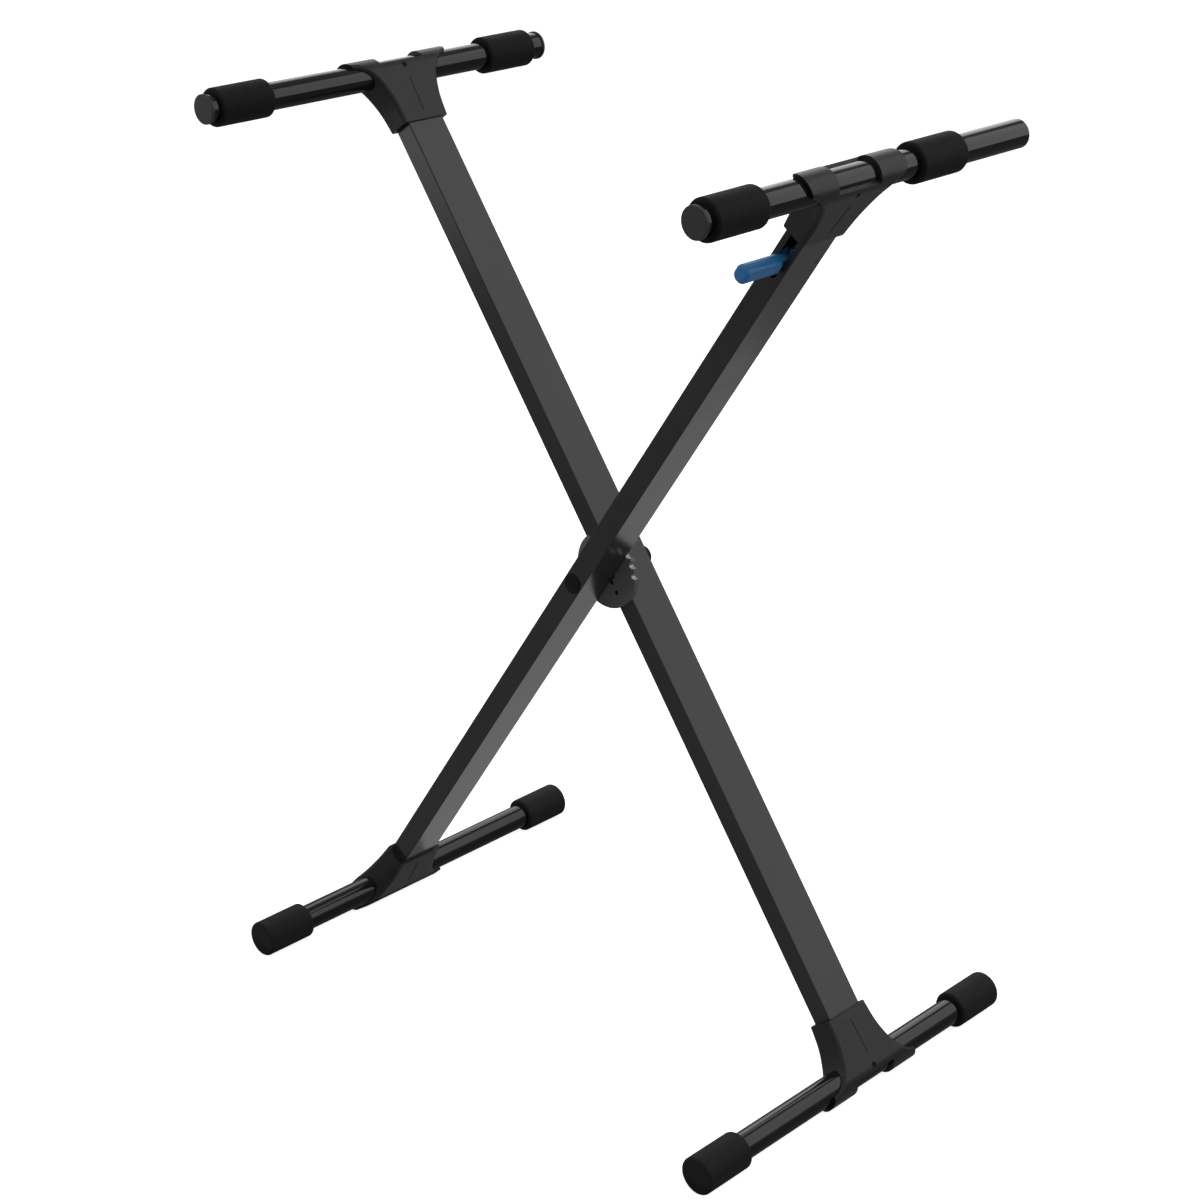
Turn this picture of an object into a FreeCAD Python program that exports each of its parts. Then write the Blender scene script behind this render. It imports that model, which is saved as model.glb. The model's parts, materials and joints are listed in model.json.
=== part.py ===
import FreeCAD, Part
import math
import os

V = FreeCAD.Vector
os.makedirs("parts", exist_ok=True)

# All sizes are in millimetres, angles in degrees.

# Legs: two rectangular tubes that cross side by side on one pivot
leg_width = 20.0
leg_depth = 40.0
leg_wall = 1.5
leg_corner = 1.0
leg_gap = 6.0
leg_splay = 35.1
legs_mid = -3.7
pivot_to_top = 485.3
pivot_to_foot = 487.3

# Round bars across the ends of the legs
bar_dia = 24.0
bar_wall = 1.5
top_bar_length = 382.0
foot_bar_overall = 391.0

# Flared brackets that hold the bars
socket_face = 2.2
socket_side = 5.5
socket_depth = 51.8
strap_wall = 3.4
strap_reach = 57.5
strap_draft = 4.5
strap_window = 25.0
strap_low = 5.0
strap_sill = 5.5
bracket_round = 3.0
# flare outline: shares of the rise from mouth to strap and of the sweep outwards
flare_rise = (0.0, 0.17, 0.38, 0.56, 0.73, 0.89, 0.965, 1.0)
flare_sweep = (0.0, 0.02, 0.07, 0.17, 0.31, 0.55, 0.78, 1.0)
seam_width = 1.2
seam_depth = 0.4
screw_dia = 2.8
screw_head = 5.2

# Sleeves that the keyboard lies on, and the caps at the bar ends
sleeve_length = 55.6
sleeve_wall = 4.7
sleeve_round = 2.5
rear_near_inset = 6.8
rear_far_inset = 13.6
front_near_inset = 6.3
front_far_from_strap = 18.9
bar_cap_lip = 0.9
bar_cap_thick = 2.6
bar_cap_shank = 16.0
foot_cap_length = 51.5
foot_cap_wall = 4.75
foot_cap_floor = 5.0
foot_cap_round = 2.4

# Pivot bolt, its bush and the notched disc between the legs
bolt_dia = 10.0
bolt_head_dia = 16.0
bolt_head_height = 10.0
bolt_key = 8.0
nut_dia = 18.0
nut_height = 4.0
nut_shank_dia = 14.0
nut_shank = 18.0
nut_cover = 2.0
washer_thick = 1.7
back_washer_dia = 19.4
back_washer = 1.2
plug_flange_dia = 18.2
plug_flange = 1.2
plug_depth = 5.0
plug_wall = 1.6
bush_wall = 2.0
bush_flange_dia = 22.0
bush_flange = 1.4
bush_inside = 2.5
disc_radius = 35.0
disc_thick = 4.5
rivet_dia = 4.0
rivet_spots = (12.0, 22.0)

# Lock: a pin that drops into the notches of the disc
notch_pitch = 16.5
notches_closing = 4
notches_opening = 3
lock_pin_dia = 6.0
notch_play = 0.2
lock_travel = 4.4
slider_height = 18.0
rod_dia = 5.0
rod_inset = 13.0
spring_wire = 1.2
spring_radius = 5.0
spring_turns = 11
spring_stop_at = 95.0
guide_shares = (0.412, 0.721)
guide_thick = 4.0
collar_dia = 11.0
collar_height = 5.0

# Release trigger on the front of the front leg
trigger_below_top = 81.3
trigger_pin_dia = 4.0
trigger_pin_back = 6.0
trigger_reach = 44.5
trigger_root_gap = 4.2
trigger_root_width = 12.5
trigger_root_height = 15.0
trigger_tip_width = 13.5
trigger_tip_height = 16.0
trigger_root_round = 4.6
trigger_tip_round = 6.4
trigger_drop = 1.6
trigger_neck = 7.0
fork_width = 14.0
fork_bulge = 6.0
trigger_slot_width = 8.4
trigger_slot_drop = 16.5

# Running fits and clear gaps
run_fit = 0.05
clear_gap = 0.4

trigger_at = pivot_to_top - trigger_below_top
trigger_pin_inset = leg_depth - trigger_pin_back
guide_spots = [share * pivot_to_top for share in guide_shares]
bar_r = bar_dia / 2
strap_r = bar_r + strap_wall
foot_cap_r = bar_r + foot_cap_wall
leg_end = bar_r + 5.0
pivot_z = foot_cap_r + pivot_to_foot * math.cos(math.radians(leg_splay))
front_y = legs_mid - (leg_gap + leg_depth) / 2
rear_y = legs_mid + (leg_gap + leg_depth) / 2
front_face = front_y - leg_depth / 2
gap_front = legs_mid - leg_gap / 2
gap_rear = legs_mid + leg_gap / 2
rear_back = rear_y + leg_depth / 2
disc_front = gap_rear - disc_thick
bolt_r = bolt_dia / 2
plug_hole_r = bolt_head_dia / 2 + 0.5
pin_r = lock_pin_dia / 2
notch_centre = disc_radius - 1.0
pin_at = notch_centre + lock_travel
slider_low = pin_at - slider_height / 2
slider_top = pin_at + slider_height / 2
bar_end = top_bar_length / 2
sleeve_half = sleeve_length / 2
rear_sleeve_near = -bar_end + rear_near_inset + sleeve_half
rear_sleeve_far = bar_end - rear_far_inset - sleeve_half
front_sleeve_near = -bar_end + front_near_inset + sleeve_half
front_sleeve_far = front_y + strap_reach + front_far_from_strap + sleeve_half


def box(x0, x1, y0, y1, z0, z1):
    return Part.makeBox(x1 - x0, y1 - y0, z1 - z0, V(x0, y0, z0))


def rod(radius, start, end):
    axis = V(*end) - V(*start)
    return Part.makeCylinder(radius, axis.Length, V(*start), axis)


def edges_along(shape, direction):
    found = []
    for edge in shape.Edges:
        a = edge.Vertexes[0].Point
        b = edge.Vertexes[-1].Point
        line = b - a
        if line.Length > 1e-6 and abs(line.normalize().dot(direction)) > 0.999:
            found.append(edge)
    return found


def bar_block(width, depth, y, z0, z1, corner):
    block = box(-width / 2, width / 2, y - depth / 2, y + depth / 2, z0, z1)
    return block.makeFillet(corner, edges_along(block, V(0, 0, 1)))


def leg_outer(y, z0, z1):
    return bar_block(leg_width, leg_depth, y, z0, z1, leg_corner)


def leg_inner(y, z0, z1):
    corner = max(leg_corner - leg_wall, 0.3)
    return bar_block(leg_width - 2 * leg_wall, leg_depth - 2 * leg_wall, y, z0, z1, corner)


def slot_tool(width, z0, z1, y0, y1):
    half = width / 2
    tool = box(-half, half, y0, y1, z0 + half, z1 - half)
    for z in (z0 + half, z1 - half):
        tool = tool.fuse(rod(half, (0, y0, z), (0, y1, z)))
    return tool.removeSplitter()


def place(shape, side):
    angle = leg_splay if side == "front" else -leg_splay
    moved = shape.copy()
    moved.rotate(V(0, 0, 0), V(0, 1, 0), angle)
    moved.translate(V(0, 0, pivot_z))
    return moved


def save(name, shape, side):
    moved = place(shape, side)
    if not moved.isValid():
        raise ValueError(name + " is not a valid solid")
    moved.exportStep("parts/" + name + ".step")


def group(shapes):
    return Part.makeCompound(shapes)


def leg_tube(y):
    low = -pivot_to_foot + leg_end
    high = pivot_to_top - leg_end
    return leg_outer(y, low, high).cut(leg_inner(y, low - 1, high + 1))


def rear_leg_tube():
    tube = leg_tube(rear_y)
    tube = tube.cut(rod(bolt_r, (0, gap_rear - 1, 0), (0, rear_y, 0)))
    tube = tube.cut(rod(nut_shank_dia / 2, (0, rear_y, 0), (0, rear_back + 1, 0)))
    for spot in rivet_spots:
        for z in (-spot, spot):
            tube = tube.cut(rod(rivet_dia / 2, (0, gap_rear - 1, z), (0, gap_rear + leg_wall + 1, z)))
    return tube


def front_leg_tube():
    tube = leg_tube(front_y)
    inside = front_face + leg_wall + 1
    tube = tube.cut(rod(plug_hole_r, (0, front_face - 1, 0), (0, inside, 0)))
    bush_r = bolt_r + run_fit + bush_wall
    tube = tube.cut(rod(bush_r, (0, gap_front - leg_wall - 1, 0), (0, gap_front + 1, 0)))
    low = notch_centre - pin_r - 0.5
    high = pin_at + lock_travel + pin_r + 0.5
    tube = tube.cut(slot_tool(lock_pin_dia + 0.8, low, high, gap_front - leg_wall - 1, gap_front + 1))
    top = pivot_to_top - socket_depth
    low = trigger_at - trigger_slot_drop
    tube = tube.cut(slot_tool(trigger_slot_width, low, top, front_face - 1, inside))
    y = front_face + trigger_pin_inset
    half = leg_width / 2 + 1
    return tube.cut(rod(trigger_pin_dia / 2, (-half, y, trigger_at), (half, y, trigger_at)))


def bracket_shell():
    y0 = leg_depth / 2 + socket_side
    x0 = leg_width / 2 + socket_face
    ye = strap_reach - strap_draft
    top = strap_r + 1
    rise = socket_depth + strap_low
    sweep = ye - y0
    points = []
    for along, out in zip(flare_rise, flare_sweep):
        points.append((y0 + out * sweep, -socket_depth + along * rise))
    right = Part.BSplineCurve()
    right.interpolate([V(0, y, z) for y, z in points])
    left = Part.BSplineCurve()
    left.interpolate([V(0, -y, z) for y, z in reversed(points)])
    edges = []
    edges.append(right.toShape())
    edges.append(Part.makeLine(V(0, ye, strap_low), V(0, strap_reach, top)))
    edges.append(Part.makeLine(V(0, strap_reach, top), V(0, -strap_reach, top)))
    edges.append(Part.makeLine(V(0, -strap_reach, top), V(0, -ye, strap_low)))
    edges.append(left.toShape())
    edges.append(Part.makeLine(V(0, -y0, -socket_depth), V(0, y0, -socket_depth)))
    flare = Part.Face(Part.Wire(edges))
    flare.translate(V(-2 * x0, 0, 0))
    flare = flare.extrude(V(4 * x0, 0, 0))
    far = strap_reach + 5
    rim = []
    rim.append(Part.makeLine(V(-x0, -far, -socket_depth), V(x0, -far, -socket_depth)))
    rim.append(Part.makeLine(V(x0, -far, -socket_depth), V(strap_r, -far, 0)))
    rim.append(Part.Arc(V(strap_r, -far, 0), V(0, -far, strap_r), V(-strap_r, -far, 0)).toShape())
    rim.append(Part.makeLine(V(-strap_r, -far, 0), V(-x0, -far, -socket_depth)))
    section = Part.Face(Part.Wire(rim)).extrude(V(0, 2 * far, 0))
    shell = flare.common(section)
    picked = []
    for edge in shell.Edges:
        c = edge.CenterOfMass
        box_y = edge.BoundBox.YLength
        box_z = edge.BoundBox.ZLength
        outer = abs(c.y) > y0 - 0.1
        if outer and box_z > 20 and box_y < 2 * strap_window and abs(c.x) > x0 - 1:
            picked.append(edge)
    return shell.makeFillet(bracket_round, picked)


def seam_tool(side, low, high):
    x0 = leg_width / 2 + socket_face
    lean = (strap_r - x0) / socket_depth
    half = seam_width / 2
    outside = strap_r + 2
    floor_low = x0 + lean * (low + socket_depth) - seam_depth
    floor_high = x0 + lean * (high + socket_depth) - seam_depth
    points = []
    points.append(V(side * floor_low, -half, low))
    points.append(V(side * outside, -half, low))
    points.append(V(side * outside, -half, high))
    points.append(V(side * floor_high, -half, high))
    points.append(points[0])
    return Part.Face(Part.makePolygon(points)).extrude(V(0, seam_width, 0))


def bracket():
    shell = bracket_shell()
    far = strap_reach + 5
    shell = shell.cut(rod(bar_r, (0, -far, 0), (0, far, 0)))
    shell = shell.cut(box(-strap_r - 1, strap_r + 1, -strap_window, strap_window, strap_sill, strap_r + 2))
    shell = shell.cut(leg_outer(0, -socket_depth - 1, -leg_end))
    for side in (-1, 1):
        shell = shell.cut(rod(screw_dia / 2, (0, 0, 0), (side * (strap_r + 1), 0, 0)))
        seat = side * (strap_r - 1.6)
        shell = shell.cut(rod(screw_head / 2, (seat, 0, 0), (side * (strap_r + 1), 0, 0)))
        shell = shell.cut(seam_tool(side, -socket_depth + 8, -screw_head / 2 - 10))
    return shell


def at_end(shape, y, end):
    moved = shape.copy()
    if end == "foot":
        moved.rotate(V(0, 0, 0), V(0, 1, 0), 180)
        moved.translate(V(0, y, -pivot_to_foot))
    else:
        moved.translate(V(0, y, pivot_to_top))
    return moved


def bracket_screw(side):
    seat = strap_r - 1.6
    head = strap_r - 0.3
    screw = rod(screw_dia / 2, (bar_r - bar_wall - 2.5, 0, 0), (seat, 0, 0))
    screw = screw.fuse(rod(screw_head / 2, (seat, 0, 0), (head, 0, 0)))
    reach = 0.32 * screw_head
    screw = screw.cut(box(head - 0.7, head + 1, -reach, reach, -0.45, 0.45))
    screw = screw.cut(box(head - 0.7, head + 1, -0.45, 0.45, -reach, reach))
    if side < 0:
        screw.rotate(V(0, 0, 0), V(0, 0, 1), 180)
    return screw


def bracket_screws(y):
    screws = []
    for end in ("top", "foot"):
        for side in (-1, 1):
            screws.append(at_end(bracket_screw(side), y, end))
    return group(screws)


def bar_tube(length, y):
    half = length / 2
    tube = rod(bar_r, (0, -half, 0), (0, half, 0))
    tube = tube.cut(rod(bar_r - bar_wall, (0, -half - 1, 0), (0, half + 1, 0)))
    return tube.cut(rod(screw_dia / 2, (-strap_r, y, 0), (strap_r, y, 0)))


def bar_cap(end):
    face = top_bar_length / 2
    lip_r = bar_r + bar_cap_lip
    shank_r = bar_r - bar_wall
    lip = rod(lip_r, (0, face, 0), (0, face + bar_cap_thick, 0))
    outer = []
    for edge in lip.Edges:
        if edge.CenterOfMass.y > face + bar_cap_thick - 0.1:
            outer.append(edge)
    lip = lip.makeFillet(0.8, outer)
    cap = lip.fuse(rod(shank_r, (0, face - bar_cap_shank, 0), (0, face, 0)))
    cap = cap.cut(rod(shank_r - 2, (0, face - bar_cap_shank - 1, 0), (0, face - 1, 0)))
    if end < 0:
        cap.rotate(V(0, 0, 0), V(0, 0, 1), 180)
    return cap


def bar_plug():
    face = top_bar_length / 2 - 1.5
    shank_r = bar_r - bar_wall
    plug = rod(shank_r, (0, face - bar_cap_shank, 0), (0, face, 0))
    return plug.cut(rod(shank_r - 2, (0, face - bar_cap_shank - 1, 0), (0, face - 3, 0)))


def sleeve(centre):
    half = sleeve_length / 2
    body = rod(bar_r + sleeve_wall, (0, centre - half, 0), (0, centre + half, 0))
    rims = []
    for edge in body.Edges:
        if edge.BoundBox.YLength < 0.01:
            rims.append(edge)
    body = body.makeFillet(sleeve_round, rims)
    return body.cut(rod(bar_r + run_fit, (0, centre - half - 1, 0), (0, centre + half + 1, 0)))


def foot_cap(end):
    face = foot_bar_overall / 2
    body = rod(foot_cap_r, (0, face - foot_cap_length, 0), (0, face, 0))
    rims = []
    for edge in body.Edges:
        if edge.BoundBox.YLength < 0.01:
            rims.append(edge)
    body = body.makeFillet(foot_cap_round, rims)
    body = body.cut(rod(bar_r, (0, face - foot_cap_length - 1, 0), (0, face - foot_cap_floor, 0)))
    if end < 0:
        body.rotate(V(0, 0, 0), V(0, 0, 1), 180)
    return body


def lock_disc():
    disc = rod(disc_radius, (0, disc_front, 0), (0, gap_rear, 0))
    r = pin_r + notch_play
    tool = rod(r, (0, disc_front - 1, notch_centre), (0, gap_rear + 1, notch_centre))
    tool = tool.fuse(box(-r, r, disc_front - 1, gap_rear + 1, notch_centre, disc_radius + 5))
    for k in range(-notches_closing, notches_opening + 1):
        cutter = tool.copy()
        cutter.rotate(V(0, 0, 0), V(0, 1, 0), 2 * leg_splay + k * notch_pitch)
        disc = disc.cut(cutter)
    disc = disc.cut(rod(bolt_r, (0, disc_front - 1, 0), (0, gap_rear + 1, 0)))
    for spot in rivet_spots:
        for z in (-spot, spot):
            disc = disc.cut(rod(rivet_dia / 2, (0, disc_front - 1, z), (0, gap_rear + 1, z)))
    return disc


def disc_rivets():
    rivets = []
    inner = gap_rear + leg_wall
    for spot in rivet_spots:
        for z in (-spot, spot):
            rivet = rod(rivet_dia / 2, (0, disc_front, z), (0, inner, z))
            rivets.append(rivet.fuse(rod(rivet_dia / 2 + 1.2, (0, inner, z), (0, inner + 1.5, z))))
    return group(rivets)


def hexagon(flats, y0, y1):
    radius = flats / math.sqrt(3)
    points = []
    for k in range(7):
        a = math.radians(60 * k)
        points.append(V(radius * math.cos(a), y0, radius * math.sin(a)))
    return Part.Face(Part.makePolygon(points)).extrude(V(0, y1 - y0, 0))


bush_end = gap_front - leg_wall - bush_inside
washer_back = bush_end - clear_gap
head_back = washer_back - washer_thick
nut_front = rear_back + back_washer
shank_end = nut_front - nut_shank
bolt_end = nut_front + nut_height - nut_cover - 0.5


def pivot_bolt():
    head_front = head_back - bolt_head_height
    head = rod(bolt_head_dia / 2, (0, head_front, 0), (0, head_back, 0))
    rim = []
    for edge in head.Edges:
        if edge.CenterOfMass.y < head_front + 0.1:
            rim.append(edge)
    head = head.makeFillet(1.0, rim)
    head = head.cut(hexagon(bolt_key, head_front - 1, head_front + 0.5 * bolt_head_height))
    bolt = head.fuse(rod(bolt_r, (0, head_back, 0), (0, bolt_end, 0)))
    return bolt.removeSplitter()


def pivot_nut():
    top = nut_front + nut_height
    nut = rod(nut_dia / 2, (0, nut_front, 0), (0, top, 0))
    rim = []
    for edge in nut.Edges:
        if edge.CenterOfMass.y > top - 0.1:
            rim.append(edge)
    nut = nut.makeFillet(0.55 * nut_height, rim)
    nut = nut.fuse(rod(nut_shank_dia / 2, (0, shank_end, 0), (0, nut_front, 0)))
    nut = nut.cut(rod(bolt_r, (0, shank_end - 1, 0), (0, top - nut_cover, 0)))
    for z in (-0.3 * nut_dia, 0.3 * nut_dia):
        nut = nut.cut(rod(1.2, (0, top - 0.6 * nut_cover, z), (0, top + 1, z)))
    return nut.removeSplitter()


def pivot_washers():
    front = rod(bolt_head_dia / 2, (0, head_back, 0), (0, washer_back, 0))
    front = front.cut(rod(bolt_r, (0, head_back - 1, 0), (0, washer_back + 1, 0)))
    back = rod(back_washer_dia / 2, (0, rear_back, 0), (0, nut_front, 0))
    back = back.cut(rod(nut_shank_dia / 2, (0, rear_back - 1, 0), (0, nut_front + 1, 0)))
    return group([front, back])


def rear_pivot_spacer():
    y0 = gap_rear + leg_wall
    tube = rod(bolt_r + 3.0, (0, y0, 0), (0, shank_end, 0))
    return tube.cut(rod(bolt_r, (0, y0 - 1, 0), (0, shank_end + 1, 0)))


def pivot_plug():
    outside = front_face - plug_flange
    plug = rod(plug_flange_dia / 2, (0, outside, 0), (0, front_face, 0))
    rim = []
    for edge in plug.Edges:
        if edge.CenterOfMass.y < outside + 0.1:
            rim.append(edge)
    plug = plug.makeFillet(0.7 * plug_flange, rim)
    inner = front_face + plug_depth
    plug = plug.fuse(rod(plug_hole_r, (0, front_face, 0), (0, inner, 0)))
    plug = plug.cut(rod(plug_hole_r - plug_wall, (0, front_face + 0.5, 0), (0, inner + 1, 0)))
    return plug.removeSplitter()


def pivot_bush():
    hole = bolt_r + run_fit
    bush = rod(bush_flange_dia / 2, (0, gap_front, 0), (0, gap_front + bush_flange, 0))
    bush = bush.fuse(rod(hole + bush_wall, (0, bush_end, 0), (0, gap_front, 0)))
    return bush.cut(rod(hole, (0, bush_end - 1, 0), (0, gap_front + 3, 0)))


rod_y = front_face + rod_inset
trigger_y = front_face + trigger_pin_inset
collar_low = trigger_at + fork_bulge + clear_gap
rod_top = collar_low + collar_height + 3.0


def lock_slider():
    half = leg_width / 2 - leg_wall - 0.7
    y0 = front_face + leg_wall + 3.5
    y1 = gap_front - leg_wall - 1.0
    block = box(-half, half, y0, y1, slider_low, slider_top)
    block = block.makeFillet(1.0, edges_along(block, V(0, 0, 1)))
    mid = front_face + leg_depth / 2
    block = block.cut(rod(pin_r, (0, mid, pin_at), (0, y1 + 1, pin_at)))
    return block.cut(rod(rod_dia / 2, (0, rod_y, pin_at + 1), (0, rod_y, slider_top + 1)))


def lock_pin():
    mid = front_face + leg_depth / 2
    tip = gap_rear - 0.5
    pin = rod(pin_r, (0, mid, pin_at), (0, tip, pin_at))
    rim = []
    for edge in pin.Edges:
        if edge.CenterOfMass.y > tip - 0.1:
            rim.append(edge)
    return pin.makeChamfer(0.4, rim)


def pull_rod():
    return rod(rod_dia / 2, (0, rod_y, pin_at + 1), (0, rod_y, rod_top))


def rod_collar():
    collar = rod(collar_dia / 2, (0, rod_y, collar_low), (0, rod_y, collar_low + collar_height))
    return collar.cut(rod(rod_dia / 2, (0, rod_y, collar_low - 1), (0, rod_y, rod_top + 1)))


def guide_plate(z):
    plate = leg_inner(front_y, z, z + guide_thick)
    return plate.cut(rod(rod_dia / 2 + run_fit, (0, rod_y, z - 1), (0, rod_y, z + guide_thick + 1)))


def lock_spring():
    low = slider_top + 0.3 + spring_wire / 2
    high = spring_stop_at - 0.05 - spring_wire / 2
    pitch = (high - low) / spring_turns
    helix = Part.makeHelix(pitch, high - low, spring_radius)
    start = V(spring_radius, 0, 0)
    circle = Part.makeCircle(spring_wire / 2, start, V(0, 1, pitch / (2 * math.pi * spring_radius)))
    coil = Part.Wire(helix).makePipeShell([Part.Wire(circle)], True, True)
    coil.translate(V(0, rod_y, low))
    points = []
    for k in range(24 * spring_turns + 1):
        a = 2 * math.pi * k / 24
        points.append(V(spring_radius * math.cos(a), spring_radius * math.sin(a), pitch * k / 24))
    least = 1e9
    for i in range(len(points)):
        for j in range(i + 12, len(points)):
            least = min(least, points[i].distanceToPoint(points[j]))
    print("lock spring, least gap between turns:", round(least - spring_wire, 2), "mm")
    return coil


def trigger_pin():
    half = leg_width / 2
    return rod(trigger_pin_dia / 2, (-half, trigger_y, trigger_at), (half, trigger_y, trigger_at))


def rounded_section(width, height, radius, y):
    x = width / 2
    z = height / 2
    r = radius
    d = r * (1 - math.sqrt(0.5))
    corners = []
    corners.append((V(x, y, z - r), V(x - d, y, z - d), V(x - r, y, z)))
    corners.append((V(-x + r, y, z), V(-x + d, y, z - d), V(-x, y, z - r)))
    corners.append((V(-x, y, -z + r), V(-x + d, y, -z + d), V(-x + r, y, -z)))
    corners.append((V(x - r, y, -z), V(x - d, y, -z + d), V(x, y, -z + r)))
    edges = []
    for k in range(4):
        a, b, c = corners[k]
        edges.append(Part.Arc(a, b, c).toShape())
        edges.append(Part.makeLine(c, corners[(k + 1) % 4][0]))
    return Part.Wire(edges)


def release_trigger():
    grip_back = front_face - trigger_root_gap
    grip_tip = front_face - trigger_reach
    root = rounded_section(trigger_root_width, trigger_root_height, trigger_root_round, grip_back)
    tip = rounded_section(trigger_tip_width, trigger_tip_height, trigger_tip_round, grip_tip)
    grip = Part.makeLoft([root, tip], True, True)
    rim = []
    for edge in grip.Edges:
        if edge.BoundBox.YMax < grip_tip + 0.01:
            rim.append(edge)
    grip = grip.makeFillet(3.2, rim)
    grip.translate(V(0, 0, -trigger_drop))
    half = trigger_neck / 2
    wide_from = front_face + leg_wall + 3.0
    neck = box(-half, half, grip_back - 1, wide_from + 1, -5, 5)
    wide = fork_width / 2
    boss = trigger_pin_dia / 2 + 2.0
    bulge_y = rod_y
    web = fork_bulge - 1.3
    points = [V(-wide, wide_from, -web), V(-wide, bulge_y, -web), V(-wide, trigger_y, -boss)]
    points = points + [V(-wide, trigger_y, boss), V(-wide, bulge_y, web), V(-wide, wide_from, web)]
    points.append(points[0])
    fork = Part.Face(Part.makePolygon(points)).extrude(V(fork_width, 0, 0))
    fork = fork.fuse(rod(boss, (-wide, trigger_y, 0), (wide, trigger_y, 0)))
    fork = fork.fuse(rod(fork_bulge, (-wide, bulge_y, 0), (wide, bulge_y, 0)))
    lever = grip.fuse([neck, fork]).removeSplitter()
    slot = rod_dia / 2 + clear_gap
    lever = lever.cut(box(-slot, slot, rod_y - 4.7, rod_y + 4.7, -20, 20))
    lever = lever.cut(rod(trigger_pin_dia / 2 + run_fit, (-20, trigger_y, 0), (20, trigger_y, 0)))
    lever.translate(V(0, 0, trigger_at))
    return lever


one_bracket = bracket()
for side, y in (("rear", rear_y), ("front", front_y)):
    save(side + "_top_bracket", at_end(one_bracket, y, "top"), side)
    save(side + "_foot_bracket", at_end(one_bracket, y, "foot"), side)
    save(side + "_bracket_screws", bracket_screws(y), side)
    save(side + "_top_bar", at_end(bar_tube(top_bar_length, y), 0, "top"), side)
    foot_length = foot_bar_overall - 2 * foot_cap_floor
    save(side + "_foot_bar", at_end(bar_tube(foot_length, y), 0, "foot"), side)
    save(side + "_foot_cap_near", at_end(foot_cap(-1), 0, "foot"), side)
    save(side + "_foot_cap_far", at_end(foot_cap(1), 0, "foot"), side)

save("rear_leg_tube", rear_leg_tube(), "rear")
save("front_leg_tube", front_leg_tube(), "front")
save("rear_top_bar_caps", at_end(group([bar_cap(-1), bar_cap(1)]), 0, "top"), "rear")
save("front_top_bar_cap", at_end(bar_cap(-1), 0, "top"), "front")
save("front_top_bar_plug", at_end(bar_plug(), 0, "top"), "front")
save("rear_sleeve_near", at_end(sleeve(rear_sleeve_near), 0, "top"), "rear")
save("rear_sleeve_far", at_end(sleeve(rear_sleeve_far), 0, "top"), "rear")
save("front_sleeve_near", at_end(sleeve(front_sleeve_near), 0, "top"), "front")
save("front_sleeve_far", at_end(sleeve(front_sleeve_far), 0, "top"), "front")
save("lock_disc", lock_disc(), "rear")
save("disc_rivets", disc_rivets(), "rear")
save("pivot_bolt", pivot_bolt(), "rear")
save("pivot_nut", pivot_nut(), "rear")
save("pivot_washers", pivot_washers(), "rear")
save("rear_pivot_spacer", rear_pivot_spacer(), "rear")
save("pivot_bush", pivot_bush(), "front")
save("pivot_plug", pivot_plug(), "front")
save("lock_slider", lock_slider(), "front")
save("lock_pin", lock_pin(), "front")
save("pull_rod", pull_rod(), "front")
save("rod_collar", rod_collar(), "front")
save("rod_guides", group([guide_plate(z) for z in guide_spots]), "front")
save("spring_stop", guide_plate(spring_stop_at), "front")
save("lock_spring", lock_spring(), "front")
save("trigger_pin", trigger_pin(), "front")
save("release_trigger", release_trigger(), "front")
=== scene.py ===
import json
import math
import bmesh
import bpy
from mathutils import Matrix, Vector


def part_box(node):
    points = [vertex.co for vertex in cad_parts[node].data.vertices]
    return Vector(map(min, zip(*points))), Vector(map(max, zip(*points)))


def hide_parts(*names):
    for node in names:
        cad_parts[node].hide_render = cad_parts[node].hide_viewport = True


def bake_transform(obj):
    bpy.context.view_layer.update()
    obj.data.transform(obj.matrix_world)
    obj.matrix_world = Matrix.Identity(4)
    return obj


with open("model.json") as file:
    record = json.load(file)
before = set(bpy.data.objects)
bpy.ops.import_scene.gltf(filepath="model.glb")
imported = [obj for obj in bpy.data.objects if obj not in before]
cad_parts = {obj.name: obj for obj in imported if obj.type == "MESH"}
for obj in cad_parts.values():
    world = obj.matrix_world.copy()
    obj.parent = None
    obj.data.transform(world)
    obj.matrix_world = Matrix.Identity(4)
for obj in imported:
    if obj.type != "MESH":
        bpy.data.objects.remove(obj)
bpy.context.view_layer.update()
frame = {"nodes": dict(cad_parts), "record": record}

bl_info = {
    "name": "Keyboard stand",
    "version": (1, 0, 0),
    "blender": (4, 5, 0),
    "location": "View3D > Sidebar > Stand",
    "description": "Finishes and small details of a folding keyboard stand",
    "category": "Object",
}

NODES = frame["nodes"]
JOINTS = {joint["name"]: joint for joint in frame["record"]["behaviour"]["joints"]}
PIVOT = tuple(JOINTS["leg_pivot"]["pos_m"])
BARS = ("rear_top_bar", "front_top_bar", "rear_foot_bar", "front_foot_bar")

# The disc's notches lie inside this radius about the pivot
NOTCH_RADIUS = 0.0347

# Colours of the dust that settles on each kind of surface
PAINT_DUST = (0.22, 0.21, 0.2, 1.0)
PLASTIC_DUST = (0.24, 0.23, 0.22, 1.0)
RUBBER_DUST = (0.2, 0.19, 0.18, 1.0)

# Fineness of the tool lines along x, y and z: they run the way with the smallest number
TURNED = (300.0, 900.0, 300.0)
DRAWN = (700.0, 700.0, 90.0)
ROLLED = (800.0, 300.0, 800.0)
EVEN = (900.0, 900.0, 900.0)

# Mesh of the coil spring
STEPS_PER_TURN = 32
WIRE_SIDES = 12

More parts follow.
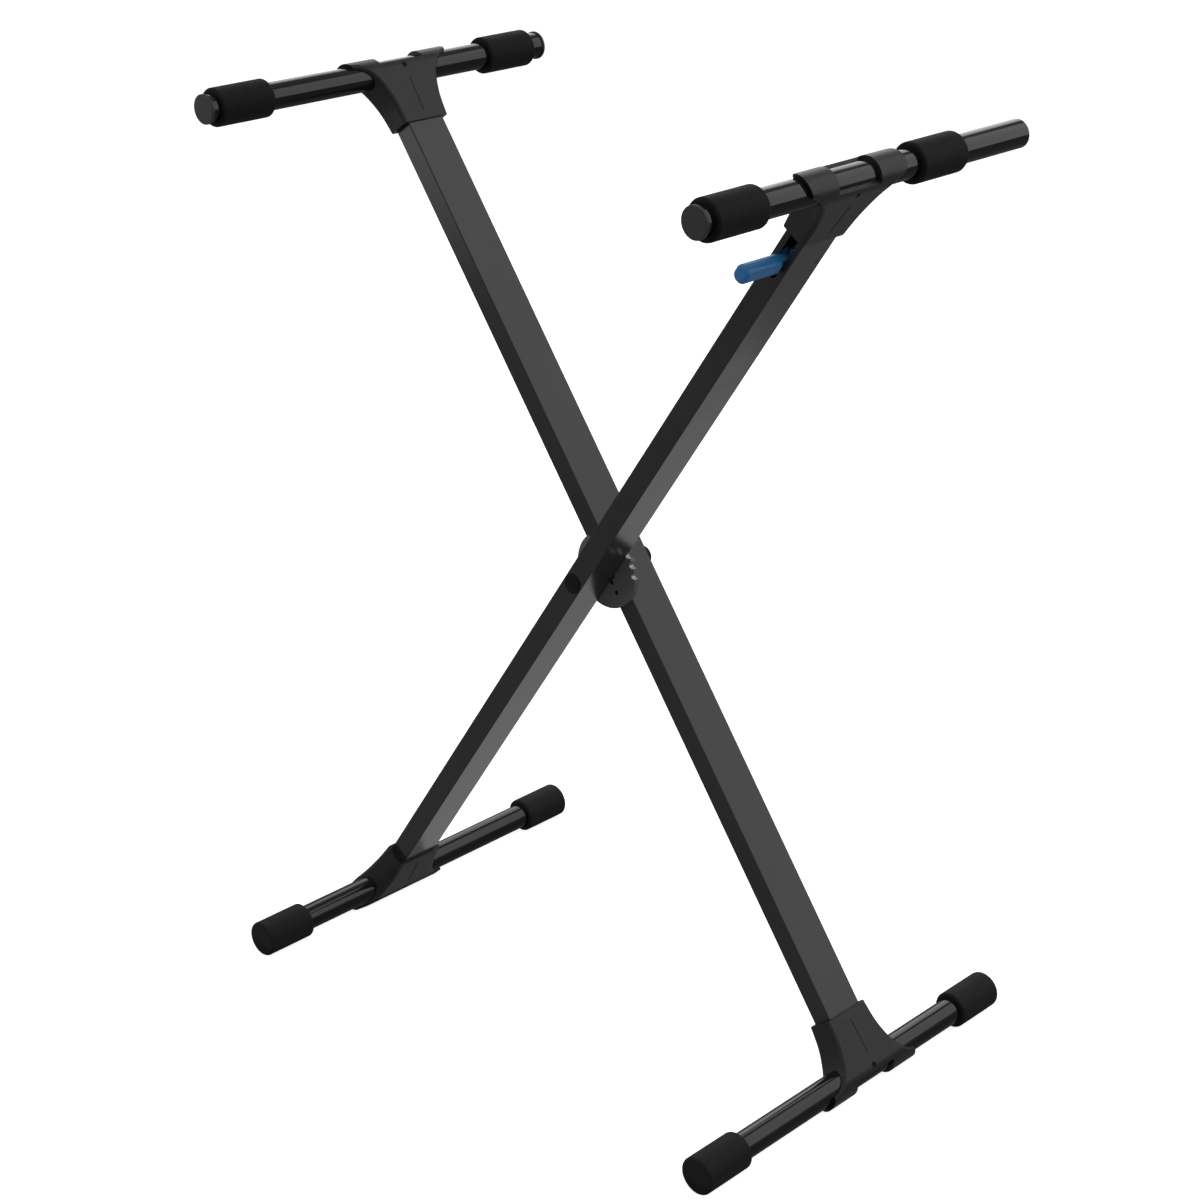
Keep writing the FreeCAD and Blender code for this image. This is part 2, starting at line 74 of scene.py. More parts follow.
# Studio: half the floor's width, the point that the panels look at, and each panel's place, width and watts
WHITE = (1.0, 1.0, 1.0, 1.0)
FLOOR_REACH = 80.0
FLOOR_EMISSION = 0.85
FLOOR_ROUGH = 0.85
STAND_MIDDLE = (0.0, 0.0, 0.42)
PANELS = (
    ("back_panel", (1.4, 1.65, 1.65), 2.5, 20.0),
    ("top_light", (0.2, -0.6, 3.0), 2.0, 8.0),
    ("back_ceiling", (-1.6, 2.1, 1.65), 2.0, 18.0),
    ("left_panel", (-1.9, -2.2, 2.2), 3.0, 14.0),
    ("right_panel", (1.9, -2.2, 2.2), 3.0, 12.0),
    ("side_panel", (-2.5, -1.85, 0.42), 1.0, 3.6),
)

# Lights that stand for the floor: place and size of each
BOUNCE_PLACE = (-0.2, 0.33, 0.02)
BOUNCE_SIZE = (0.8, 0.65)
GLOW_PLACE = (0.0, 0.0, 0.01)
GLOW_SIZE = (4.0, 4.0)

# Camera: width of its sensor in millimetres and how far it sees in metres
SENSOR_WIDTH = 36.0
CLIP_END = 300.0


def colour_prop(name, words, default):
    return bpy.props.FloatVectorProperty(
        name=name, description=words, default=default, size=4, min=0.0, max=1.0, subtype="COLOR")


def share_prop(name, words, default):
    return bpy.props.FloatProperty(
        name=name, description=words, default=default, min=0.0, max=1.0, subtype="FACTOR")


def length_prop(name, words, default):
    return bpy.props.FloatProperty(
        name=name, description=words, default=default, min=0.0, max=1.0, subtype="DISTANCE", unit="LENGTH")


def number_prop(name, words, default, low, high):
    return bpy.props.FloatProperty(name=name, description=words, default=default, min=low, max=high)


class StandPaint(bpy.types.PropertyGroup):
    """Painted tubes: the crossed legs, the bars and the notched disc"""
    leg: colour_prop("Leg colour", "Black gloss paint of the legs", (0.019, 0.019, 0.0193, 1.0))
    leg_rough: share_prop("Leg roughness", "How soft the legs' reflections are", 0.2)
    bar: colour_prop("Bar colour", "Black gloss paint of the bars", (0.008, 0.008, 0.0085, 1.0))
    bar_rough: share_prop("Bar roughness", "How soft the bars' reflections are", 0.1)
    disc: colour_prop("Disc colour", "Satin black of the notched disc", (0.12, 0.12, 0.121, 1.0))
    ripple: length_prop("Paint ripple", "Width of the ripple in the sprayed paint", 0.006)


class StandPlastic(bpy.types.PropertyGroup):
    """Moulded and rubber pieces"""
    bracket: colour_prop("Bracket colour", "Satin black of the brackets", (0.011, 0.011, 0.0115, 1.0))
    sleeve: colour_prop("Sleeve colour", "Soft black of the rest sleeves", (0.0045, 0.0045, 0.0047, 1.0))
    foot: colour_prop("Foot colour", "Soft black of the foot caps", (0.008, 0.008, 0.0082, 1.0))
    cap: colour_prop("Cap colour", "Dark grey of the bar end caps", (0.027, 0.027, 0.0275, 1.0))
    trigger: colour_prop("Trigger colour", "Blue of the release trigger", (0.022, 0.19, 0.485, 1.0))
    plug: colour_prop("Plug colour", "Matt black of the plug over the pivot", (0.003, 0.003, 0.0032, 1.0))
    bush: colour_prop("Bush colour", "Black nylon of the pivot bush", (0.014, 0.014, 0.0145, 1.0))
    nylon: colour_prop("Nylon colour", "Undyed nylon of the slider and guides", (0.62, 0.6, 0.55, 1.0))
    grain: length_prop("Mould grain", "Width of the grain in the moulded plastic", 0.0007)
    pores: length_prop("Rubber pores", "Width of the pores in the rubber", 0.0011)


class StandMetal(bpy.types.PropertyGroup):
    """Bare and blackened steel of the fasteners and the lock"""
    steel: colour_prop("Steel colour", "Zinc plated steel", (0.5, 0.51, 0.53, 1.0))
    bare: colour_prop("Bare colour", "Bare steel in the notches of the disc", (0.3, 0.3, 0.305, 1.0))
    black: colour_prop("Blackened colour", "Blackened steel of the fasteners", (0.02, 0.02, 0.021, 1.0))
    rough: share_prop("Steel roughness", "How soft the steel's reflections are", 0.34)


class StandSpring(bpy.types.PropertyGroup):
    """Coil spring that presses the lock into the disc"""
    radius: length_prop("Coil radius", "From the coil's axis to the middle of the wire", 0.005)
    wire: length_prop("Wire radius", "Radius of the wire", 0.0006)
    start: length_prop("Coil start", "From the pivot along the leg to the lower end of the wire", 0.0483)
    length: length_prop("Coil length", "Along the axis, between the ends of the wire", 0.04605)
    turns: bpy.props.IntProperty(
        name="Turns", description="Whole turns of the wire", default=11, min=2, max=40)


class StandStage(bpy.types.PropertyGroup):
    """Floor, studio light and camera"""
    floor: colour_prop("Floor colour", "Pale studio floor", (0.9, 0.9, 0.9, 1.0))
    lens: number_prop("Lens", "Focal length of the camera in millimetres", 76.98, 10.0, 300.0)
    place: bpy.props.FloatVectorProperty(
        name="Camera place", description="Where the camera stands", default=(1.4667, -1.4842, 1.2686),
        size=3, subtype="TRANSLATION", unit="LENGTH")
    turn: bpy.props.FloatProperty(
        name="Camera turn", description="Turn of the camera about the vertical",
        default=math.radians(42.1984), subtype="ANGLE", unit="ROTATION")
    tilt: bpy.props.FloatProperty(
        name="Camera tilt", description="How far the camera looks down",
        default=math.radians(21.3953), subtype="ANGLE", unit="ROTATION")
    shift: bpy.props.FloatVectorProperty(
        name="Camera shift", description="Shift of the picture's middle",
        default=(-0.0936, -0.0584), size=2)
    bounce: number_prop("Floor light", "Watts that the floor throws up at the front leg", 0.56, 0.0, 50.0)
    glow: number_prop("Floor glow", "Watts of the even glow of the floor", 6.0, 0.0, 50.0)
    sky_low: number_prop("Low room light", "Strength of the room light from below", 0.125, 0.0, 5.0)
    sky: number_prop("Room light", "Strength of the room light from above", 0.24, 0.0, 5.0)


def new_group(name, inputs, outputs):
    tree = bpy.data.node_groups.new(name, "ShaderNodeTree")
    for label, kind, value in inputs:
        socket = tree.interface.new_socket(label, in_out="INPUT", socket_type=kind)
        socket.default_value = value
    for label, kind in outputs:
        tree.interface.new_socket(label, in_out="OUTPUT", socket_type=kind)
    return tree, tree.nodes.new("NodeGroupInput"), tree.nodes.new("NodeGroupOutput")


def math_node(tree, operation, first, second):
    node = tree.nodes.new("ShaderNodeMath")
    node.operation = operation
    for socket, value in zip(node.inputs, (first, second)):
        if isinstance(value, (int, float)):
            socket.default_value = value
        else:
            tree.links.new(value, socket)
    return node.outputs[0]


def mix_colour(tree, factor, first, second):
    node = tree.nodes.new("ShaderNodeMix")
    node.data_type = "RGBA"
    for socket, value in ((node.inputs[0], factor), (node.inputs[6], first), (node.inputs[7], second)):
        if isinstance(value, (int, float, tuple)):
            socket.default_value = value
        else:
            tree.links.new(value, socket)
    return node.outputs[2]


def map_range(tree, value, low, high, to_low, to_high):
    node = tree.nodes.new("ShaderNodeMapRange")
    tree.links.new(value, node.inputs[0])
    for k, number in enumerate((low, high, to_low, to_high)):
        node.inputs[k + 1].default_value = number
    return node.outputs[0]


def noise(tree, vector, scale, detail=3.0, rough=0.55):
    node = tree.nodes.new("ShaderNodeTexNoise")
    tree.links.new(vector, node.inputs["Vector"])
    if isinstance(scale, (int, float)):
        node.inputs["Scale"].default_value = scale
    else:
        tree.links.new(scale, node.inputs["Scale"])
    node.inputs["Detail"].default_value = detail
    node.inputs["Roughness"].default_value = rough
    return node.outputs["Fac"]


def place_of_surface(tree):
    return tree.nodes.new("ShaderNodeTexCoord").outputs["Object"]


def stretched(tree, vector, scale, turn=0.0):
    node = tree.nodes.new("ShaderNodeMapping")
    tree.links.new(vector, node.inputs["Vector"])
    if isinstance(scale, tuple):
        node.inputs["Scale"].default_value = scale
    else:
        tree.links.new(scale, node.inputs["Scale"])
    node.inputs["Rotation"].default_value = (0.0, turn, 0.0)
    return node.outputs[0]


def notch_group():
    """Bare walls of the disc's notches, inside a radius about the pivot"""
    tree, ins, outs = new_group(
        "Notch walls",
        [("Middle", "NodeSocketVector", (0.0, 0.0, 0.0)), ("Radius", "NodeSocketFloat", 0.03)],
        [("Mask", "NodeSocketFloat")])
    from_middle = tree.nodes.new("ShaderNodeVectorMath")
    from_middle.operation = "SUBTRACT"
    tree.links.new(place_of_surface(tree), from_middle.inputs[0])
    tree.links.new(ins.outputs["Middle"], from_middle.inputs[1])
    flat = tree.nodes.new("ShaderNodeVectorMath")
    flat.operation = "MULTIPLY"
    flat.inputs[1].default_value = (1.0, 0.0, 1.0)
    tree.links.new(from_middle.outputs[0], flat.inputs[0])
    length = tree.nodes.new("ShaderNodeVectorMath")
    length.operation = "LENGTH"
    tree.links.new(flat.outputs[0], length.inputs[0])
    inside = math_node(tree, "LESS_THAN", length.outputs["Value"], ins.outputs["Radius"])
    way = tree.nodes.new("ShaderNodeSeparateXYZ")
    tree.links.new(tree.nodes.new("ShaderNodeNewGeometry").outputs["Normal"], way.inputs[0])
    wall = math_node(tree, "LESS_THAN", math_node(tree, "ABSOLUTE", way.outputs[1], 0.0), 0.4)
    tree.links.new(math_node(tree, "MULTIPLY", inside, wall), outs.inputs["Mask"])
    return tree


def grain_group():
    """Fine grain: an even height for the bump and a soft mask for the tint"""
    tree, ins, outs = new_group(
        "Surface grain", [("Width", "NodeSocketFloat", 0.001)],
        [("Height", "NodeSocketFloat"), ("Mask", "NodeSocketFloat")])
    at = place_of_surface(tree)
    scale = math_node(tree, "DIVIDE", 1.0, ins.outputs["Width"])
    tree.links.new(noise(tree, at, scale, 4.0, 0.6), outs.inputs["Height"])
    broad = noise(tree, at, 9.0, 3.0, 0.6)
    tree.links.new(map_range(tree, broad, 0.35, 0.7, 0.0, 1.0), outs.inputs["Mask"])
    return tree


def pore_group():
    """Small open pores of soft rubber, with a speckle mask"""
    tree, ins, outs = new_group(
        "Rubber pores", [("Width", "NodeSocketFloat", 0.001)],
        [("Height", "NodeSocketFloat"), ("Mask", "NodeSocketFloat")])
    at = place_of_surface(tree)
    scale = math_node(tree, "DIVIDE", 1.0, ins.outputs["Width"])
    cells = tree.nodes.new("ShaderNodeTexVoronoi")
    tree.links.new(at, cells.inputs["Vector"])
    tree.links.new(scale, cells.inputs["Scale"])
    dips = map_range(tree, cells.outputs["Distance"], 0.05, 0.5, 0.0, 1.0)
    fuzz = noise(tree, at, math_node(tree, "MULTIPLY", scale, 0.45), 4.0, 0.65)
    tree.links.new(math_node(tree, "MULTIPLY", dips, fuzz), outs.inputs["Height"])
    tree.links.new(map_range(tree, fuzz, 0.4, 0.7, 0.0, 1.0), outs.inputs["Mask"])
    return tree


def scuff_group():
    """Faint rubbed streaks that run along the tubes"""
    tree, ins, outs = new_group(
        "Rubbed streaks", [("Amount", "NodeSocketFloat", 0.3)], [("Mask", "NodeSocketFloat")])
    at = place_of_surface(tree)
    thin = noise(tree, stretched(tree, at, (90.0, 14.0, 22.0), 0.4), 1.0, 5.0, 0.7)
    broad = noise(tree, at, 4.5, 2.0, 0.5)
    both = math_node(tree, "MULTIPLY", map_range(tree, thin, 0.52, 0.72, 0.0, 1.0),
                     map_range(tree, broad, 0.4, 0.7, 0.0, 1.0))
    tree.links.new(math_node(tree, "MULTIPLY", both, ins.outputs["Amount"]), outs.inputs["Mask"])
    return tree


def dust_group():
    """Thin dust on faces that look up"""
    tree, ins, outs = new_group(
        "Settled dust", [("Amount", "NodeSocketFloat", 0.1)], [("Mask", "NodeSocketFloat")])
    at = place_of_surface(tree)
    up = tree.nodes.new("ShaderNodeSeparateXYZ")
    tree.links.new(tree.nodes.new("ShaderNodeNewGeometry").outputs["Normal"], up.inputs[0])
    facing = map_range(tree, up.outputs[2], 0.25, 1.0, 0.0, 1.0)
    patch = map_range(tree, noise(tree, at, 38.0, 5.0, 0.65), 0.35, 0.75, 0.2, 1.0)
    both = math_node(tree, "MULTIPLY", facing, patch)
    tree.links.new(math_node(tree, "MULTIPLY", both, ins.outputs["Amount"]), outs.inputs["Mask"])
    return tree


def tool_line_group():
    """Fine lines left by turning or drawing the steel"""
    tree, ins, outs = new_group(
        "Tool lines", [("Stretch", "NodeSocketVector", TURNED)], [("Height", "NodeSocketFloat")])
    lines = noise(tree, stretched(tree, place_of_surface(tree), ins.outputs["Stretch"]), 1.0, 4.0, 0.7)
    tree.links.new(lines, outs.inputs["Height"])
    return tree


GROUPS = {}


def group_node(tree, key, **values):
    makers = {"grain": grain_group, "pores": pore_group, "scuffs": scuff_group, "dust": dust_group,
              "notches": notch_group, "lines": tool_line_group}
    if key not in GROUPS:
        GROUPS[key] = makers[key]()
    node = tree.nodes.new("ShaderNodeGroup")
    node.node_tree = GROUPS[key]
    for name, value in values.items():
        node.inputs[name].default_value = value
    return node


def shaded(colour, factor):
    return tuple(min(1.0, c * factor) for c in colour[:3]) + (1.0,)


def new_material(name):
    material = bpy.data.materials.new(name)
    material.use_nodes = True
    tree = material.node_tree
    return material, tree, tree.nodes["Principled BSDF"]


def add_bump(tree, shader, height, strength, distance):
    bump = tree.nodes.new("ShaderNodeBump")
    bump.inputs["Strength"].default_value = strength
    bump.inputs["Distance"].default_value = distance
    tree.links.new(height, bump.inputs["Height"])
    tree.links.new(bump.outputs["Normal"], shader.inputs["Normal"])


def painted_finish(name, colour, rough, ripple, strength, dust, scuff):
    """Sprayed gloss paint with its ripple, rubbed streaks and a little dust"""
    material, tree, shader = new_material(name)
    grain = group_node(tree, "grain", Width=ripple)
    scuffs = group_node(tree, "scuffs", Amount=scuff)
    dusty = group_node(tree, "dust", Amount=dust)
    base = mix_colour(tree, grain.outputs["Mask"], shaded(colour, 0.86), shaded(colour, 1.18))
    base = mix_colour(tree, scuffs.outputs["Mask"], base, shaded(colour, 3.0))
    base = mix_colour(tree, dusty.outputs["Mask"], base, PAINT_DUST)
    tree.links.new(base, shader.inputs["Base Color"])
    even = map_range(tree, grain.outputs["Mask"], 0.0, 1.0, rough * 0.85, rough * 1.2)
    rubbed = math_node(tree, "MULTIPLY", scuffs.outputs["Mask"], 0.35)
    tree.links.new(math_node(tree, "ADD", even, rubbed), shader.inputs["Roughness"])
    add_bump(tree, shader, grain.outputs["Height"], strength, 0.0002)
    return material


def disc_finish(name, colour, bare, ripple, middle, radius):
    """Satin black with bare steel on the walls of the notches"""
    material = painted_finish(name, colour, 0.36, ripple, strength=0.1, dust=0.03, scuff=0.35)
    tree = material.node_tree
    shader = tree.nodes["Principled BSDF"]
    walls = group_node(tree, "notches", Middle=middle, Radius=radius)
    painted = shader.inputs["Base Color"].links[0].from_socket
    mixed = mix_colour(tree, walls.outputs["Mask"], painted, shaded(bare, 1.0))
    tree.links.new(mixed, shader.inputs["Base Color"])
    tree.links.new(walls.outputs["Mask"], shader.inputs["Metallic"])
    return material


def moulded_finish(name, colour, rough, width, strength, dust, shine=0.5):
    """Moulded plastic with a fine spark-eroded grain"""
    material, tree, shader = new_material(name)
    grain = group_node(tree, "grain", Width=width)
    scuffs = group_node(tree, "scuffs", Amount=0.25)
    dusty = group_node(tree, "dust", Amount=dust)
    base = mix_colour(tree, grain.outputs["Mask"], shaded(colour, 0.88), shaded(colour, 1.15))
    base = mix_colour(tree, scuffs.outputs["Mask"], base, shaded(colour, 2.2))
    base = mix_colour(tree, dusty.outputs["Mask"], base, PLASTIC_DUST)
    tree.links.new(base, shader.inputs["Base Color"])
    soft = map_range(tree, grain.outputs["Height"], 0.3, 0.7, rough * 0.88, rough * 1.12)
    tree.links.new(soft, shader.inputs["Roughness"])
    shader.inputs["Specular IOR Level"].default_value = shine
    add_bump(tree, shader, grain.outputs["Height"], strength, 0.0003)
    return material


def rubber_finish(name, colour, rough, width, dust, shine):
    """Soft black rubber with pores and a worn bloom"""
    material, tree, shader = new_material(name)
    pores = group_node(tree, "pores", Width=width)
    dusty = group_node(tree, "dust", Amount=dust)
    base = mix_colour(tree, pores.outputs["Mask"], shaded(colour, 0.75), shaded(colour, 1.5))
    base = mix_colour(tree, dusty.outputs["Mask"], base, RUBBER_DUST)
    tree.links.new(base, shader.inputs["Base Color"])
    soft = map_range(tree, pores.outputs["Mask"], 0.0, 1.0, rough * 0.9, rough * 1.1)
    tree.links.new(soft, shader.inputs["Roughness"])
    shader.inputs["Specular IOR Level"].default_value = shine
    add_bump(tree, shader, pores.outputs["Height"], 0.45, 0.0004)
    return material


def steel_finish(name, colour, rough, streaks):
    """Turned or drawn steel with fine tool lines"""
    material, tree, shader = new_material(name)
    grain = group_node(tree, "grain", Width=0.0009)
    lines = group_node(tree, "lines", Stretch=streaks).outputs["Height"]
    base = mix_colour(tree, grain.outputs["Mask"], shaded(colour, 0.82), shaded(colour, 1.12))
    tree.links.new(base, shader.inputs["Base Color"])
    tree.links.new(map_range(tree, lines, 0.3, 0.7, rough * 0.75, rough * 1.3), shader.inputs["Roughness"])
    shader.inputs["Metallic"].default_value = 1.0
    add_bump(tree, shader, lines, 0.2, 0.0001)
    return material


def wear(node, material):
    """Gives one CAD piece its finish"""
    obj = NODES[node]
    if not obj.material_slots:
        obj.data.materials.append(material)
    for slot in obj.material_slots:
        slot.material = material


def finish_nodes(names, material):
    for name in names:
        wear(name, material)


class STAND_OT_legs(bpy.types.Operator):
    """Gloss paint on both crossed leg tubes"""
    bl_idname = "stand.legs"
    bl_label = "Legs"

    def execute(self, context):
        paint = context.scene.stand_paint
        material = painted_finish("Leg gloss paint", paint.leg, paint.leg_rough, paint.ripple,
                                  strength=0.04, dust=0.02, scuff=0.2)
        finish_nodes(("rear_leg_tube", "front_leg_tube"), material)
        return {"FINISHED"}


class STAND_OT_bars(bpy.types.Operator):
    """Gloss paint on the four round bars and plastic on their end caps"""
    bl_idname = "stand.bars"
    bl_label = "Bars and caps"

    def execute(self, context):
        paint = context.scene.stand_paint
        plastic = context.scene.stand_plastic
        material = painted_finish("Bar gloss paint", paint.bar, paint.bar_rough, paint.ripple,
                                  strength=0.03, dust=0.02, scuff=0.15)
        finish_nodes(BARS, material)
        caps = moulded_finish("Bar cap plastic", plastic.cap, 0.5, plastic.grain, strength=0.25, dust=0.04)
        finish_nodes(("rear_top_bar_caps", "front_top_bar_cap", "front_top_bar_plug"), caps)
        return {"FINISHED"}


class STAND_OT_brackets(bpy.types.Operator):
    """Moulded finish of the flared brackets and black screws in them"""
    bl_idname = "stand.brackets"
    bl_label = "Brackets"

    def execute(self, context):
        plastic = context.scene.stand_plastic
        metal = context.scene.stand_metal
        material = moulded_finish("Bracket plastic", plastic.bracket, 0.4, plastic.grain,
                                  strength=0.3, dust=0.02, shine=0.4)
        names = [side + "_" + end + "_bracket" for side in ("rear", "front") for end in ("top", "foot")]
        finish_nodes(names, material)
        screws = steel_finish("Blackened screws", metal.black, 0.42, EVEN)
        finish_nodes(("rear_bracket_screws", "front_bracket_screws"), screws)
        return {"FINISHED"}


class STAND_OT_rubber(bpy.types.Operator):
    """Soft rubber of the sliding sleeves and the foot caps"""
    bl_idname = "stand.rubber"
    bl_label = "Sleeves and foot caps"

    def execute(self, context):
        plastic = context.scene.stand_plastic
        sleeves = rubber_finish("Sleeve rubber", plastic.sleeve, 0.72, plastic.pores, dust=0.03, shine=0.22)
        feet = rubber_finish("Foot rubber", plastic.foot, 0.68, plastic.pores, dust=0.03, shine=0.25)
        for side in ("rear", "front"):
            finish_nodes((side + "_sleeve_near", side + "_sleeve_far"), sleeves)
            finish_nodes((side + "_foot_cap_near", side + "_foot_cap_far"), feet)
        return {"FINISHED"}


def coil_mesh(name, low, way, spring):
    """Coil of round wire about a line that starts at low, with closed ends"""
    across = Vector((0.0, 1.0, 0.0))
    out = across.cross(way)
    rise = spring.length / (2.0 * math.pi * spring.turns)
    steps = STEPS_PER_TURN * spring.turns
    round_wire = [2.0 * math.pi * side / WIRE_SIDES for side in range(WIRE_SIDES)]
    shape = bmesh.new()
    rings = []
    for k in range(steps + 1):
        angle = 2.0 * math.pi * spring.turns * k / steps
        radial = out * math.cos(angle) + across * math.sin(angle)
        along = (across * math.cos(angle) - out * math.sin(angle)) * spring.radius + way * rise
        lift = along.normalized().cross(radial)
        at = low + radial * spring.radius + way * (rise * angle)
        ring = [at + (radial * math.cos(turn) + lift * math.sin(turn)) * spring.wire for turn in round_wire]
        rings.append([shape.verts.new(point) for point in ring])
    for below, above in zip(rings, rings[1:]):
        for side in range(WIRE_SIDES):
            face = shape.faces.new((below[side - 1], below[side], above[side], above[side - 1]))
            face.smooth = True
    shape.faces.new(rings[0])
    shape.faces.new(rings[-1])
    bmesh.ops.recalc_face_normals(shape, faces=shape.faces[:])
    mesh = bpy.data.meshes.new(name)
    shape.to_mesh(mesh)
    shape.free()
    return mesh


class STAND_OT_spring(bpy.types.Operator):
    """Coil spring in place of the still CAD coil"""
    bl_idname = "stand.spring"
    bl_label = "Lock spring"

    def execute(self, context):
        spring = context.scene.stand_spring
        metal = context.scene.stand_metal
        way = Vector(JOINTS["lock_draw"]["axis"]).normalized()
        across = sum(corner[1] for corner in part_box("lock_spring")) / 2.0
        low = Vector((PIVOT[0], across, PIVOT[2])) + way * spring.start
        coil = bpy.data.objects.new("lock_spring_coil", coil_mesh("lock_spring_coil", low, way, spring))
        context.scene.collection.objects.link(coil)
        coil.data.materials.append(steel_finish("Spring steel", metal.steel, metal.rough, DRAWN))
        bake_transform(coil)
        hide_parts("lock_spring")
        return {"FINISHED"}


class STAND_OT_lock(bpy.types.Operator):
    """Finishes of the pivot, the notched disc, the lock inside the leg and the trigger"""
    bl_idname = "stand.lock"
    bl_label = "Pivot, lock and trigger"

    def execute(self, context):
        paint = context.scene.stand_paint
        plastic = context.scene.stand_plastic
        metal = context.scene.stand_metal
        disc = disc_finish("Disc satin black", paint.disc, metal.bare, paint.ripple, PIVOT, NOTCH_RADIUS)
        wear("lock_disc", disc)
        turned = steel_finish("Turned steel", metal.steel, metal.rough, TURNED)
        finish_nodes(("rear_pivot_spacer", "lock_pin"), turned)
        drawn = steel_finish("Drawn steel", metal.steel, metal.rough, DRAWN)
        finish_nodes(("pull_rod", "rod_collar"), drawn)
        dark = steel_finish("Blackened fasteners", metal.black, 0.4, ROLLED)
        finish_nodes(("disc_rivets", "pivot_bolt", "pivot_nut", "pivot_washers", "trigger_pin"), dark)
        nylon = moulded_finish("Plain nylon", plastic.nylon, 0.5, plastic.grain, strength=0.15, dust=0.02)
        finish_nodes(("rod_guides", "spring_stop", "lock_slider"), nylon)
        bush = moulded_finish("Black nylon", plastic.bush, 0.45, plastic.grain, strength=0.15, dust=0.0)
        wear("pivot_bush", bush)
        plug = rubber_finish("Plug rubber", plastic.plug, 0.6, plastic.pores, dust=0.0, shine=0.2)
        wear("pivot_plug", plug)
        blue = moulded_finish("Trigger blue plastic", plastic.trigger, 0.42, plastic.grain,
                              strength=0.2, dust=0.03)
        wear("release_trigger", blue)
        return {"FINISHED"}


def area_light(name, place, target, size, power):
    data = bpy.data.lights.new(name, "AREA")
    data.shape = "RECTANGLE"
    data.size = size[0]
    data.size_y = size[1]
    data.energy = power
    obj = bpy.data.objects.new(name, data)
    obj.location = place
    obj.rotation_euler = (Vector(target) - Vector(place)).to_track_quat("-Z", "Y").to_euler()
    bpy.context.scene.collection.objects.link(obj)
    return obj


def floor_light(name, place, size, power):
    """Light that the floor throws straight up, unseen by the camera"""
    light = area_light(name, place, (place[0], place[1], 1.0), size, power)
    light.visible_camera = False
    return light


def add_floor(scene, stage):
    """White floor that stays out of the reflections, because the floor lights stand for it there"""
    mesh = bpy.data.meshes.new("studio_floor")
    shape = bmesh.new()
    bmesh.ops.create_grid(shape, x_segments=8, y_segments=8, size=FLOOR_REACH)
    shape.to_mesh(mesh)
    shape.free()
    floor = bpy.data.objects.new("studio_floor", mesh)
    scene.collection.objects.link(floor)
    material, tree, shader = new_material("Studio floor")
    shader.inputs["Base Color"].default_value = stage.floor
    shader.inputs["Roughness"].default_value = FLOOR_ROUGH
    shader.inputs["Emission Color"].default_value = WHITE
    shader.inputs["Emission Strength"].default_value = FLOOR_EMISSION
    mesh.materials.append(material)
    floor.visible_diffuse = False
    floor.visible_glossy = False


def add_room(scene, stage):
    """Even light from above, less from below, and white where the camera sees it"""
    world = bpy.data.worlds.new("Even room light")
    world.use_nodes = True
    room = world.node_tree
    back = room.nodes["Background"]
    back.inputs["Color"].default_value = WHITE
    way = room.nodes.new("ShaderNodeSeparateXYZ")
    room.links.new(room.nodes.new("ShaderNodeTexCoord").outputs["Generated"], way.inputs[0])
    glow = map_range(room, way.outputs[2], -0.15, 0.05, stage.sky_low, stage.sky)
    seen = room.nodes.new("ShaderNodeLightPath").outputs["Is Camera Ray"]
    room.links.new(math_node(room, "MAXIMUM", glow, seen), back.inputs["Strength"])
    scene.world = world


def add_lights(stage):
    """Soft panels, and floor lights that reach the front leg or leave out the dark undersides of the bars"""
    for name, place, width, watts in PANELS:
        area_light(name, place, STAND_MIDDLE, (width, width), watts)
    bounce = floor_light("floor_bounce", BOUNCE_PLACE, BOUNCE_SIZE, stage.bounce)
    lit = bpy.data.collections.new("Lit from the floor")
    lit.objects.link(NODES["front_leg_tube"])
    bounce.light_linking.receiver_collection = lit
    glow = floor_light("floor_glow", GLOW_PLACE, GLOW_SIZE, stage.glow)
    unlit = bpy.data.collections.new("Not lit from the floor")
    for name in BARS:
        unlit.objects.link(NODES[name])
    for member in unlit.collection_objects:
        member.light_linking.link_state = "EXCLUDE"
    glow.light_linking.receiver_collection = unlit


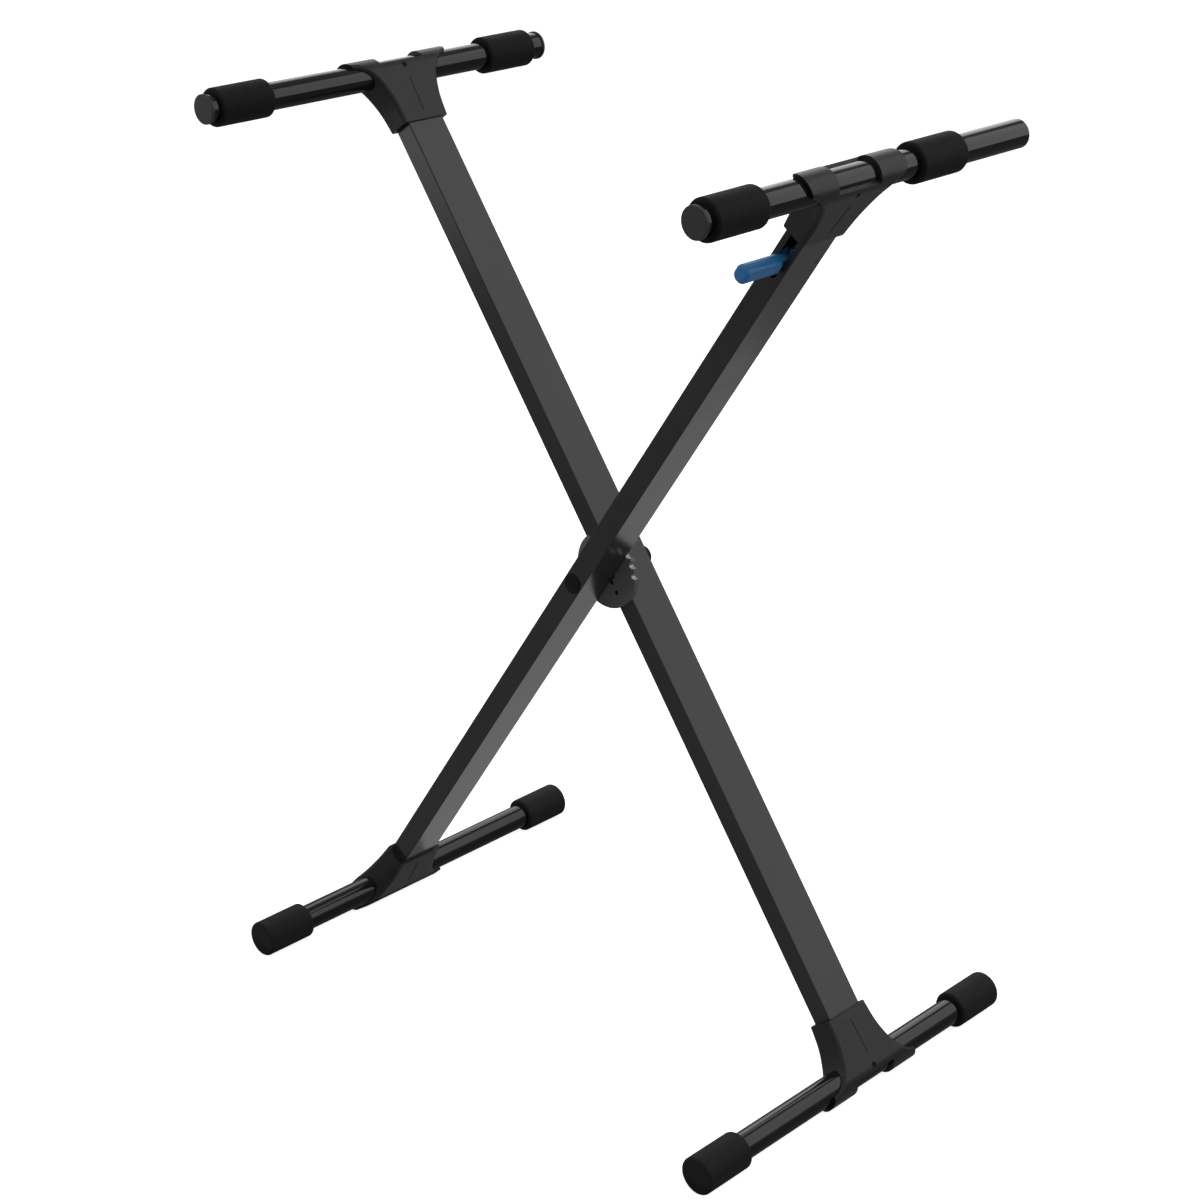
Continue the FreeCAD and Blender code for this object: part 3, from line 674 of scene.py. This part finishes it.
def add_camera(scene, stage):
    """Camera solved from the photograph"""
    data = bpy.data.cameras.new("photo_camera")
    data.sensor_fit = "HORIZONTAL"
    data.sensor_width = SENSOR_WIDTH
    data.lens = stage.lens
    data.shift_x = stage.shift[0]
    data.shift_y = stage.shift[1]
    data.clip_end = CLIP_END
    camera = bpy.data.objects.new("photo_camera", data)
    camera.location = stage.place
    camera.rotation_euler = (math.radians(90.0) - stage.tilt, 0.0, stage.turn)
    scene.collection.objects.link(camera)
    scene.camera = camera


class STAND_OT_stage(bpy.types.Operator):
    """Pale floor, soft studio light and the camera of the photograph"""
    bl_idname = "stand.stage"
    bl_label = "Stage"

    def execute(self, context):
        scene = context.scene
        stage = scene.stand_stage
        add_floor(scene, stage)
        add_room(scene, stage)
        add_lights(stage)
        add_camera(scene, stage)
        scene.view_settings.view_transform = "Standard"
        return {"FINISHED"}


class STAND_PT_panel(bpy.types.Panel):
    """Lists the steps and the sizes and colours of the stand"""
    bl_idname = "STAND_PT_panel"
    bl_label = "Keyboard stand"
    bl_space_type = "VIEW_3D"
    bl_region_type = "UI"
    bl_category = "Stand"

    def draw(self, context):
        for step in STEPS:
            self.layout.operator(step.bl_idname)
        for name in GROUP_NAMES:
            values = getattr(context.scene, name)
            column = self.layout.column(align=True)
            for key in values.__annotations__:
                column.prop(values, key)


STEPS = (STAND_OT_legs, STAND_OT_bars, STAND_OT_brackets, STAND_OT_rubber, STAND_OT_lock, STAND_OT_spring,
         STAND_OT_stage)
GROUP_NAMES = {
    "stand_paint": StandPaint,
    "stand_plastic": StandPlastic,
    "stand_metal": StandMetal,
    "stand_spring": StandSpring,
    "stand_stage": StandStage,
}


def register():
    for name, kind in GROUP_NAMES.items():
        bpy.utils.register_class(kind)
        setattr(bpy.types.Scene, name, bpy.props.PointerProperty(type=kind))
    for step in STEPS:
        bpy.utils.register_class(step)
    bpy.utils.register_class(STAND_PT_panel)


def unregister():
    bpy.utils.unregister_class(STAND_PT_panel)
    for step in reversed(STEPS):
        bpy.utils.unregister_class(step)
    for name, kind in GROUP_NAMES.items():
        delattr(bpy.types.Scene, name)
        bpy.utils.unregister_class(kind)


def main():
    register()
    bpy.ops.stand.legs()
    bpy.ops.stand.bars()
    bpy.ops.stand.brackets()
    bpy.ops.stand.rubber()
    bpy.ops.stand.lock()
    bpy.ops.stand.spring()
    bpy.ops.stand.stage()


if __name__ == "__main__":
    main()
